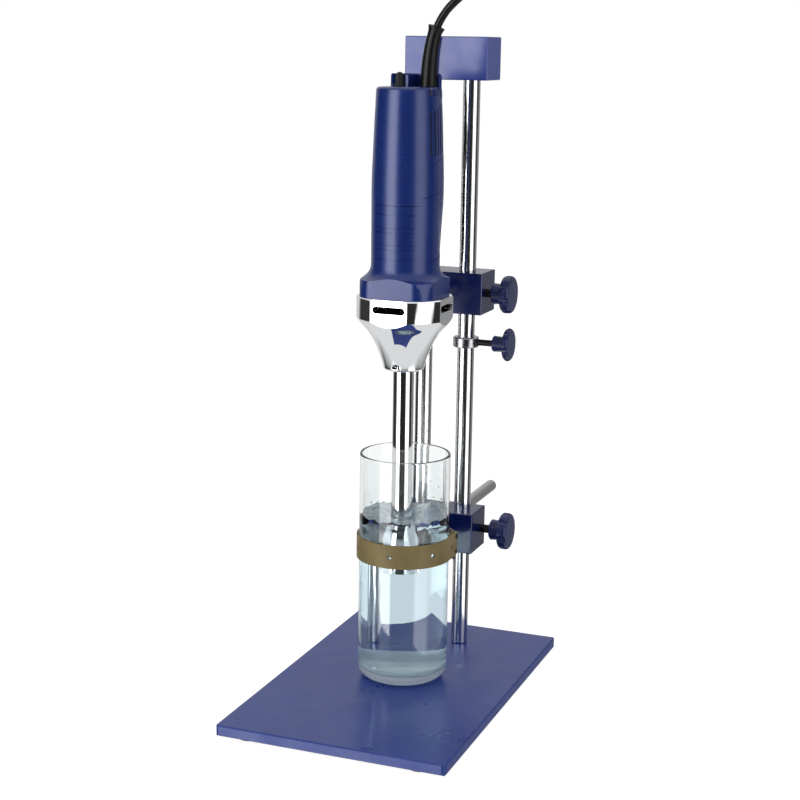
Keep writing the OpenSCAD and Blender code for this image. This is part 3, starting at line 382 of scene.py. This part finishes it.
def soft_corners(thing, angle):
    """Joins a mesh's corners and shades it smooth where faces meet at less than angle."""
    tree = bpy.data.node_groups.new(f"soft corners {angle}", "GeometryNodeTree")
    for way in ("INPUT", "OUTPUT"):
        tree.interface.new_socket("Geometry", in_out=way, socket_type="NodeSocketGeometry")
    first = tree.nodes.new("NodeGroupInput").outputs[0]
    last = tree.nodes.new("NodeGroupOutput").inputs[0]
    joined = tree.nodes.new("GeometryNodeMergeByDistance")
    joined.inputs["Distance"].default_value = JOIN * MM
    plain = tree.nodes.new("GeometryNodeRemoveAttribute")
    plain.inputs["Name"].default_value = "custom_normal"
    meeting = tree.nodes.new("GeometryNodeInputMeshEdgeAngle")
    sharp = tree.nodes.new("FunctionNodeCompare")
    sharp.operation, sharp.inputs[1].default_value = "LESS_EQUAL", radians(angle)
    faces = tree.nodes.new("GeometryNodeSetShadeSmooth")
    edges = tree.nodes.new("GeometryNodeSetShadeSmooth")
    edges.domain = "EDGE"
    for a, b in (
        (first, joined.inputs[0]), (joined.outputs[0], plain.inputs[0]),
        (plain.outputs[0], faces.inputs[0]), (faces.outputs[0], edges.inputs[0]),
        (meeting.outputs["Unsigned Angle"], sharp.inputs[0]),
        (sharp.outputs[0], edges.inputs["Shade Smooth"]), (edges.outputs[0], last),
    ):
        tree.links.new(a, b)
    thing.modifiers.new("soft corners", "NODES").node_group = tree


for part in frame["record"]["subparts"]:
    node = frame["nodes"][part["node"]]
    if part["node"] in moulded:
        soft_corners(node, moulded[part["node"]])
    node.data.materials.clear()
    node.data.materials.append(finishes[part["material_slot"]])
    if part["node"] in rounded:
        weld = node.modifiers.new("weld", "WELD")
        weld.merge_threshold = JOIN * MM
        bevel = node.modifiers.new("edges", "BEVEL")
        bevel.width, bevel.segments = rounded[part["node"]] * MM, 3
        bevel.limit_method, bevel.angle_limit = "ANGLE", radians(SHARP)
        bevel.harden_normals = True
frame["nodes"]["stop_collar"].data.materials[0] = collar_steel
print(len(finishes), "finishes on", len(frame["nodes"]), "nodes")

# %% [markdown]
# ## Making a piece
# A piece is one mesh object. It takes a material and rides on the CAD body that
# carries it, so it moves when the body does. Most pieces here are lofts: rings of
# points joined one to the next.

# %% Pieces
def piece(name, verts, faces, made, body, smooth=True):
    """A mesh object from points in millimetres, riding on a CAD body."""
    mesh = bpy.data.meshes.new(name)
    mesh.from_pydata([Vector(v) * MM for v in verts], [], faces)
    mesh.update()
    bm = bmesh.new()
    bm.from_mesh(mesh)
    bmesh.ops.recalc_face_normals(bm, faces=bm.faces)
    bm.to_mesh(mesh)
    bm.free()
    mesh.polygons.foreach_set("use_smooth", [smooth] * len(mesh.polygons))
    mesh.materials.append(made)
    made_piece = bpy.data.objects.new(name, mesh)
    scene.collection.objects.link(made_piece)
    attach(made_piece, body)
    print(name, "faces:", len(mesh.polygons))
    return made_piece


def loft(rings):
    """Vertices and faces that join rings of the same number of points, ends closed."""
    n, last = len(rings[0]), len(rings) - 1
    verts = [p for ring in rings for p in ring]
    faces = [
        (a * n + k, a * n + (k + 1) % n, (a + 1) * n + (k + 1) % n, (a + 1) * n + k)
        for a in range(last) for k in range(n)
    ]
    return verts, faces + [tuple(range(n)), tuple(range(last * n, (last + 1) * n))]


# %% [markdown]
# ## Painted shade in the slots
# The cooling slots look dark right up to their edges, as their insides are in shade.
# That shade is painted: a thin black sheet stands just under the shell's outside in
# each slot. Its depth is measured by a ray sent at the shell beside the slot.

# %% Painted slot shade
from mathutils.bvhtree import BVHTree

MESH = 0.8  # checker size of the painted shade sheet, in mm, coarse enough to show
# Painted shade: a near-black sheet with a faint checker, standing in for the slots' dark
# insides.
slot_shade, tree, shader = material("painted slot shade", "08090d", 0.6, IOR=1.4)
threads = add(tree, "TexCoord").outputs["Object"]
cells = add(tree, "TexChecker", {"Vector": threads, "Scale": 1000 / MESH})
tinted(tree, shader, cells.outputs["Fac"], (0.0, "05060a"), (1.0, "10121a"))
bumped(tree, shader, cells.outputs["Fac"], 0.05)

cover_mesh = frame["nodes"]["rear_cover"].data
cover = BVHTree.FromPolygons(
    [v.co for v in cover_mesh.vertices], [tuple(p.vertices) for p in cover_mesh.polygons]
)
TOOL_Y = 4.5  # the tool's and the motor's axis
SLOTS, SLOT_W, SLOT_PITCH, SLOT_MIDDLE = 6, 2.2, 5.9, 3
UNDER, THICK, EDGE = 0.4, 0.5, 1.5  # depth under the shell, thickness, where the rays go
NARROW = 15  # a ray that finds the shell nearer the axis than this went through a slot
STEPS = 6


def shell_at(side, y, z):
    """How far out the shell is, on a ray from the side at y, z."""
    hit = cover.ray_cast(Vector((side * 60, y, z)) * MM, Vector((-side, 0, 0)))[0]
    return abs(hit.x) / MM if hit else 0


shade_sheets, shade_sheet_faces = [], []
for side in (-1, 1):
    for n in range(SLOTS):
        y = SLOT_MIDDLE + (n - (SLOTS - 1) / 2) * SLOT_PITCH
        near, far = (TOOL_Y + y + way * (SLOT_W / 2 - 0.03) for way in (-1, 1))
        for low, high in ((492 + 0.1 * y, 531.6 + 0.3 * y), (542.3, 548.6)):
            rings = []
            for k in range(STEPS + 1):
                z = low + 0.1 + (high - low - 0.2) * k / STEPS
                beside = [shell_at(side, TOOL_Y + y + way * EDGE, z) for way in (-1, 1)]
                if min(beside) < NARROW:
                    continue
                a, b = (side * (x - UNDER) for x in beside)
                rings.append([(a, near, z), (b, far, z), (b - side * THICK, far, z),
                              (a - side * THICK, near, z)])
            if len(rings) > 1:
                start = len(shade_sheets)
                more, more_faces = loft(rings)
                shade_sheets += more
                shade_sheet_faces += [tuple(v + start for v in face) for face in more_faces]
# The sheets ride on the carriage as painted shade for the slots.
slot_shade_sheets = piece("slot_shade_sheets", shade_sheets, shade_sheet_faces, slot_shade, "carriage", smooth=False)

# %% [markdown]
# ## The mains lead
# The lead leaves the motor's top through a strain relief, arches over to the back and
# comes down behind the motor. Its unused length is folded into a hank behind the motor
# and held by a tie, with the plug beside it. It is one curve with a round bevel. The
# points of the free part are listed, and the hank's folds are half circles, so no
# bend is tighter than the sheath allows.

# %% The lead's route
CORD_D, CORD_LENGTH = 7, 1.8  # in mm and in m
lead = [(17.0, 20, 588.0), (18.2, 20, 594), (20, 20, 599.9), (22.6, 20, 605.2),
        (25.9, 20, 610.5), (30.2, 20, 616.2), (35.8, 20.2, 621.8), (43, 21.5, 628),
        (51, 26, 635), (57.5, 34.5, 641.5), (60.8, 46.5, 647.5), (58.8, 59.5, 651),
        (51.5, 71.5, 651), (40.5, 81, 646.5), (29, 87.8, 638.5), (18.5, 92.3, 630),
        (10.5, 94.6, 623.8), (4, 95, 617.8), (-2, 95, 610.8), (-6.5, 95, 602),
        (-9.5, 95, 590), (-11.3, 95, 577), (-12, 95, 564), (-11.6, 94.5, 550),
        (-10.5, 94.5, 535), (-9.4, 94.5, 522), (-9, 94.5, 508)]
tail = [(-51, 73.5, 403), (-50.2, 73, 410), (-48, 72, 417.5), (-44.5, 70, 425),
        (-39.5, 67, 432.5), (-33.5, 64, 439.5), (-29.5, 61.5, 447), (-27, 60.5, 454.5),
        (-26, 60, 462), (-26, 60, 468)]
HANK_X, FOLD_R, FOLD_LOW, FOLD_HIGH = -30, 21, 402.5, 519.5
LAYERS = [94.5, 87.5, 80.5, 73.5]
LEAD_IN = 498  # where the free part runs into the first layer
FOLD_STEPS = 8

hank = []
for layer, y in enumerate(LAYERS):
    last = y == LAYERS[-1]
    first = FOLD_HIGH if layer else LEAD_IN
    hank += [(HANK_X + FOLD_R, y, z) for z in (first, (first + FOLD_LOW) / 2)]
    fold = [pi * k / FOLD_STEPS for k in range(FOLD_STEPS if last else FOLD_STEPS + 1)]
    hank += [(HANK_X + FOLD_R * cos(a), y, FOLD_LOW - FOLD_R * sin(a)) for a in fold]
    if not last:
        rise = (FOLD_HIGH - FOLD_LOW) / 2
        hank += [(HANK_X - FOLD_R, y, FOLD_LOW + rise * k) for k in (1, 2)]
        for k in range(1, FOLD_STEPS):
            turn = pi * k / FOLD_STEPS
            over = y + (LAYERS[layer + 1] - y) * (1 - cos(turn)) / 2
            hank.append((HANK_X - FOLD_R * cos(turn), over, FOLD_HIGH + FOLD_R * sin(turn)))
route = [Vector(p) for p in lead + hank + tail]
print("route points:", len(route))

# %% The lead
curve = bpy.data.curves.new("mains_lead", "CURVE")
curve.dimensions, curve.resolution_u = "3D", 6
curve.bevel_depth, curve.bevel_resolution = CORD_D / 2 * MM, 4
curve.use_fill_caps = True
line = curve.splines.new("BEZIER")
line.bezier_points.add(len(route) - 1)
for i, (knot, here) in enumerate(zip(line.bezier_points, route)):
    before, after = route[max(i - 1, 0)], route[min(i + 1, len(route) - 1)]
    way = (after - before).normalized()
    knot.handle_left_type = knot.handle_right_type = "FREE"
    knot.co = here * MM
    knot.handle_left = (here - way * (here - before).length / 3) * MM
    knot.handle_right = (here + way * (after - here).length / 3) * MM
curve.materials.append(cord_rubber)
mains_lead = bpy.data.objects.new("mains_lead", curve)
scene.collection.objects.link(mains_lead)
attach(mains_lead, "carriage")
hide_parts("cord_lead", "cord_hank", "cord_tail")

# %% [markdown]
# The strain relief is a soft rubber sleeve that keeps the lead from kinking where it
# leaves the shell. It tapers, bends with the lead, and ends in a rounded lip. Rings are
# set square to a bent line, each with its own radius.

# %% Strain relief
def rings_along(spine, radii, sides=40):
    """Round rings along a line of points."""
    rings = []
    for i, (centre, r) in enumerate(zip(spine, radii)):
        way = Vector(spine[min(i + 1, len(spine) - 1)]) - Vector(spine[max(i - 1, 0)])
        side = way.cross(Vector((0, 1, 0))).normalized()
        up = side.cross(way).normalized()
        turn = [tau * k / sides for k in range(sides)]
        rings.append([Vector(centre) + r * (cos(a) * side + sin(a) * up) for a in turn])
    return rings


SLEEVE_Y = 20
profile = [(12.7, 544, 7.4), (12.95, 549, 7.4), (13.1, 553, 7.4), (13.3, 560, 7.2),
           (13.7, 568, 6.9), (14.4, 576, 6.6), (15.5, 584, 6.3), (16.7, 590, 6.1),
           (17.7, 594, 6.0), (18.5, 596.8, 6.3), (19.1, 598.6, 6.9), (19.4, 599.6, 7.3),
           (19.6, 600.2, 7.25), (19.7, 600.5, 6.6)]  # x, height and radius of each ring
rings = rings_along([(x, SLEEVE_Y, z) for x, z, r in profile], [r for x, z, r in profile])
lip = rings[-1]
middle = sum(lip, Vector()) / len(lip)
rings += [[middle + (p - middle) * inset for p in lip] for inset in (0.7, 0.55)]
sleeve = piece("cord_sleeve", *loft(rings), cord_rubber, "carriage")
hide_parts("strain_relief")

# %% [markdown]
# ## The beaker
# A glass beaker is blown against a mould, so its rim is fire-polished into a round
# bead and its floor meets the wall in a wide curve. Its section is drawn once, from
# the middle of the floor out, up and back down inside, and turned round the axis.

# %% Beaker
BEAKER_Y, OUT_R, WALL, FLOOR_Z, RIM_Z, FLOOR_T = 12, 41.3, 2.4, 10, 223, 8
IN_R = OUT_R - WALL
OUT_CORNER, IN_CORNER = 12, 10  # radii where the floor meets the wall
PALE_BASE_Z = 27  # the paler base glass, painted light, reaches this high


def corner(cx, cz, r, start, end):
    """Points on a round corner of a section, angles in degrees."""
    turn = [radians(start + (end - start) * k / 8) for k in range(9)]
    return [(cx + r * cos(a), cz + r * sin(a)) for a in turn]


def turned(section, axis_y, sides=128):
    """A section of (radius, height) points turned round an upright axis."""
    way = [(cos(tau * k / sides), sin(tau * k / sides)) for k in range(sides)]
    return [[(r * c, axis_y + r * s, z) for c, s in way] for r, z in section]


bead = WALL / 2
section = [(0.4, FLOOR_Z + 0.8), (20, FLOOR_Z + 0.6), (27, FLOOR_Z)]
section += corner(OUT_R - OUT_CORNER, FLOOR_Z + OUT_CORNER, OUT_CORNER, -90, 0)
heights = (60, 110, 160, 200, RIM_Z - bead - 3, RIM_Z - bead - 1)
section += [(OUT_R, z) for z in heights]
section += corner(IN_R + bead, RIM_Z - bead, bead, 0, 180)
section += [(IN_R, z) for z in reversed(heights)]
inside_z = FLOOR_Z + FLOOR_T
section += corner(IN_R - IN_CORNER, inside_z + IN_CORNER, IN_CORNER, 0, -90)
section += [(20, inside_z), (0.4, inside_z)]
glass = piece("beaker_glass", *loft(turned(section, BEAKER_Y)), beaker_glass, "vessel")
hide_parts("beaker")
# Faces below the base height take the paler glass, the painted light of the thick base.
glass.data.materials.append(paler_base_glass)
for face in glass.data.polygons:
    face.material_index = int(face.center.z < PALE_BASE_Z * MM)

# %% [markdown]
# ## The liquid
# The tool throws the water about: it drops beside the shaft and piles up at the wall.
# The liquid is its own closed body. It reaches a hair into the glass, because a gap of
# air between the two would mirror. Its top is a fine polar grid, and the height of each
# point is a sum of the dip, the two piles and smaller waves from a noise that is the
# same each run.

# %% Water
WATER_Z, INTO_GLASS = 165, 0.12
WET_R = IN_R + INTO_GLASS
RINGS, SIDES = 40, 144
CLIMB = 1.2  # how high water creeps up the glass, and from how far out
FROTH_Z = 150  # faces above this, but for the outermost, are the churned top
FRONT = Vector((0.357, -0.934))  # from the beaker's axis to the camera, seen from above
RIGHT = Vector((0.934, 0.357))


def surface(x, y):
    """Height of the water above its still level, at x, y from the beaker's axis."""
    r = hypot(x, y)
    across, toward = Vector((x, y)).dot(RIGHT), Vector((x, y)).dot(FRONT)
    dip = -4 * exp(-((hypot(across - 4, toward - 2) / 13) ** 2))
    left = 3.5 * exp(-(((across + 25) / 12) ** 2)) * exp(-(((toward + 6) / 22) ** 2))
    right = 9 * exp(-(((across - 27) / 9) ** 2)) * exp(-(((toward + 10) / 16) ** 2))
    curl = 6 * exp(-((across - 16 - 0.2 * toward) / 4.5) ** 2)
    curl *= exp(-(((toward - 8) / 16) ** 2))
    waves = 2 * noise.noise(Vector((x, y, 3)) / 9)
    waves += 1.4 * noise.noise(Vector((x, y, 9)) / 4)
    return dip + left + right + curl + waves * (0.5 + 0.5 * r / IN_R)


foot = FLOOR_Z + FLOOR_T - INTO_GLASS
under = [(0.4, foot), (15, foot)]
under += corner(WET_R - IN_CORNER, foot + IN_CORNER, IN_CORNER, -90, 0)
under += [(WET_R, z) for z in (60, 100, 140, 152, 155)]
rings = turned(under, BEAKER_Y, SIDES)
for i in range(RINGS, -1, -1):
    r = max(WET_R * i / RINGS, 0.4)
    spots = [(r * cos(tau * k / SIDES), r * sin(tau * k / SIDES)) for k in range(SIDES)]
    still = WATER_Z + CLIMB * exp(-(WET_R - r) / CLIMB)
    rings.append([(x, y + BEAKER_Y, still + surface(x, y)) for x, y in spots])
verts, faces = loft(rings)
drops = [  # how far right and toward the camera each is, its height and its radius
    (20, 8, 186, 0.9), (31, -4, 190, 0.7), (26, 10, 184, 0.6), (-30, 12, 179, 0.8),
    (-24, 16, 181, 0.6), (14, -16, 187, 0.7), (33, 8, 182, 0.9), (24, -9, 194, 0.5),
]
for across, toward, z, r in drops:
    spot = RIGHT * across + FRONT * toward
    drop = [(r * sin(pi * j / 8), z + r * 1.25 * cos(pi * j / 8)) for j in range(1, 8)]
    start = len(verts)
    more, more_faces = loft(turned(drop, 0, 12))
    verts += [(x + spot.x, y + spot.y + BEAKER_Y, h) for x, y, h in more]
    faces += [tuple(v + start for v in face) for face in more_faces]
liquid = piece("liquid", verts, faces, water, "vessel")
liquid.data.materials.append(churned)
for face in liquid.data.polygons:
    inside = hypot(face.center.x / MM, face.center.y / MM - BEAKER_Y) < WET_R - 0.3
    face.material_index = int(inside and face.center.z > FROTH_Z * MM)

# %% [markdown]
# ## The strap's loose end
# The strap goes round the beaker and back to the jaw. Its loose end is tucked inside
# the right run, where it shows as a second, darker layer. It is a thin band that
# follows the first and stops short of the glass.

# %% Loose end
BAND_LOW, BAND_HIGH, BAND_T = 127.2, 147.6, 1.6
band = [(39.2, 13.2), (39.6, 15), (39.7, 18), (39.3, 21), (38.3, 24), (36.6, 26.6)]
band = [Vector((x, y + BEAKER_Y)) for x, y in band]
rings = []
for k, here in enumerate(band):
    way = (band[min(k + 1, len(band) - 1)] - band[max(k - 1, 0)]).normalized()
    side = Vector((way.y, -way.x)) * BAND_T / 2
    a, b = here + side, here - side
    rings.append([(a.x, a.y, BAND_LOW), (a.x, a.y, BAND_HIGH),
                  (b.x, b.y, BAND_HIGH), (b.x, b.y, BAND_LOW)])
loose_end = piece("strap_end", *loft(rings), strap_rubber, "vessel_clamp", smooth=False)
rim = loose_end.modifiers.new("edges", "BEVEL")
rim.width, rim.segments = 0.3 * MM, 2

# %% [markdown]
# ## Floor and light
# A product table: a pale floor and a white backdrop, with a large soft light on each
# side of the camera and dark cards between and beyond them. Polished rods show exactly
# that: two bright stripes with dark ones between. Diffuse surfaces only see the soft
# lights and an even fill. The camera sees white.

# %% Floor
FLOOR, REACH = cad_low.z, 6  # its height, and how far it goes each way, in m
edges = [(-REACH, -REACH), (REACH, -REACH), (REACH, REACH), (-REACH, REACH)]
mesh = bpy.data.meshes.new("floor")
mesh.from_pydata([(x, y, FLOOR) for x, y in edges], [], [(0, 1, 2, 3)])
floor = bpy.data.objects.new("floor", mesh)
scene.collection.objects.link(floor)
floor_white = bpy.data.materials.new("white table")
floor_white.use_nodes = True
tree = floor_white.node_tree
tree.nodes.clear()
rays = add(tree, "LightPath")
matt = add(tree, "BsdfDiffuse", {"Color": (0.85, 0.85, 0.85, 1)})
glow = add(tree, "Emission", {"Color": (1, 1, 1, 1), "Strength": 0.93})
shade = add(tree, "BsdfDiffuse", {"Color": (0.26, 0.26, 0.26, 1)})
pale = add(tree, "AddShader", {0: glow.outputs[0], 1: shade.outputs[0]})
pick = add(tree, "MixShader", {0: rays.outputs["Is Camera Ray"], 1: matt.outputs[0],
                               2: pale.outputs[0]})
add(tree, "OutputMaterial", {"Surface": pick.outputs[0]})
mesh.materials.append(floor_white)
floor.visible_glossy = floor.visible_transmission = False  # they see the room instead
print("floor at", round(FLOOR / MM, 2), "mm")

# %% Soft lights
WIDTH, HEIGHT, MIDDLE_Z, DISTANCE = 0.9, 1.7, 0.35, 1.7  # of each light, in m


def soft_light(name, bearing, glow):
    """An area light, bearing degrees to the right of the line from object to camera."""
    way = FRONT * cos(radians(bearing)) + RIGHT * sin(radians(bearing))
    lamp = bpy.data.lights.new(name, "AREA")
    lamp.shape, lamp.size, lamp.size_y = "RECTANGLE", WIDTH, HEIGHT
    lamp.energy = glow * pi * WIDTH * HEIGHT
    lit = bpy.data.objects.new(name, lamp)
    scene.collection.objects.link(lit)
    lit.location = (way.x * DISTANCE, way.y * DISTANCE, MIDDLE_Z)
    lit.rotation_euler = Vector((way.x, way.y, 0)).to_track_quat("Z", "Y").to_euler()
    lit.visible_camera = lit.visible_glossy = lit.visible_transmission = False
    print(name, "at", bearing, "degrees")


soft_light("soft_left", -53, 1.3)
soft_light("soft_right", 50, 0.5)

# %% [markdown]
# The world answers each kind of ray. The camera gets white. Mirrors and glass get the
# room with its lights and cards, drawn as bands round the horizon that fade to white
# overhead and to pale grey below. Its lights are up to six and a half times as bright as
# white, and only these rays see them. Glass lets a paler room through, dark only on the
# camera's side. Everything else gets an even fill.

# %% Room
studio = bpy.data.worlds.new("studio")
scene.world = studio
studio.use_nodes = True
tree = studio.node_tree
tree.nodes.clear()
direction = add(tree, "TexCoord").outputs["Generated"]
faced = (0, 0, -atan2(FRONT.y, FRONT.x))  # bearing 0 is toward the camera
axes = add(tree, "Mapping", {"Vector": direction, "Rotation": faced})
part = add(tree, "SeparateXYZ", {0: axes.outputs[0]})
sides = {0: part.outputs["Y"], 1: part.outputs["X"]}
angle = add(tree, "Math", sides, operation="ARCTAN2")
place = spread(tree, angle.outputs[0], -pi, pi, 0.0, 1.0)
LIGHT = 7.0  # the brightest band's strength; a ramp's colours stop at 1
stops = [  # bearing in degrees, and strength
    (-180, 0.7), (-142, 0.7), (-130, 0.04), (-84, 0.04), (-78, 0.5), (-69, 0.8),
    (-66, 5.5), (-46, 5.5), (-38, 6.5), (-33, 0.03), (-4, 0.02), (25, 0.03), (33, 2.6),
    (62, 2.2), (70, 0.7), (74, 0.03), (98, 0.03), (108, 0.3), (150, 0.3), (180, 0.7),
]
bands = ramp_of(tree, place, [((b + 180) / 360, [n / LIGHT] * 3 + [1]) for b, n in stops])
round_about = add(tree, "Math", {0: bands.outputs[0], 1: LIGHT}, operation="MULTIPLY")
height = part.outputs["Z"]
overhead = spread(tree, height, 0.42, 0.68, 0.0, 1.0)
below = spread(tree, height, -0.42, -0.68, 0.0, 1.0)
upper = add(tree, "Mix", {0: overhead, 2: round_about.outputs[0], 3: 1.0})
whole = add(tree, "Mix", {0: below, 2: upper.outputs[0], 3: 0.8})
pale = [(0.0, 1), (0.33, 0.9), (0.39, 0.05), (0.61, 0.05), (0.67, 0.9), (1.0, 1)]
sideways = ramp_of(tree, place, [(where, [n] * 4) for where, n in pale]).outputs[0]
rays = add(tree, "LightPath")
through, glossy = rays.outputs["Is Transmission Ray"], rays.outputs["Is Glossy Ray"]
lift = add(tree, "Math", {0: sideways, 1: through}, operation="MULTIPLY")
level = add(tree, "Math", {0: whole.outputs[0], 1: lift.outputs[0]}, operation="MAXIMUM")
room, fill, white = (
    add(tree, "Background", {"Color": (1, 1, 1, 1), "Strength": strength}).outputs[0]
    for strength in (level.outputs[0], 0.55, 1.0)
)
mirrored = add(tree, "Math", {0: glossy, 1: through}, operation="MAXIMUM")
indoors = add(tree, "MixShader", {0: mirrored.outputs[0], 1: fill, 2: room})
values = {0: rays.outputs["Is Camera Ray"], 1: indoors.outputs[0], 2: white}
all_rays = add(tree, "MixShader", values)
add(tree, "OutputWorld", {"Surface": all_rays.outputs[0]})
scene.view_settings.view_transform = "Standard"
print("studio ready")
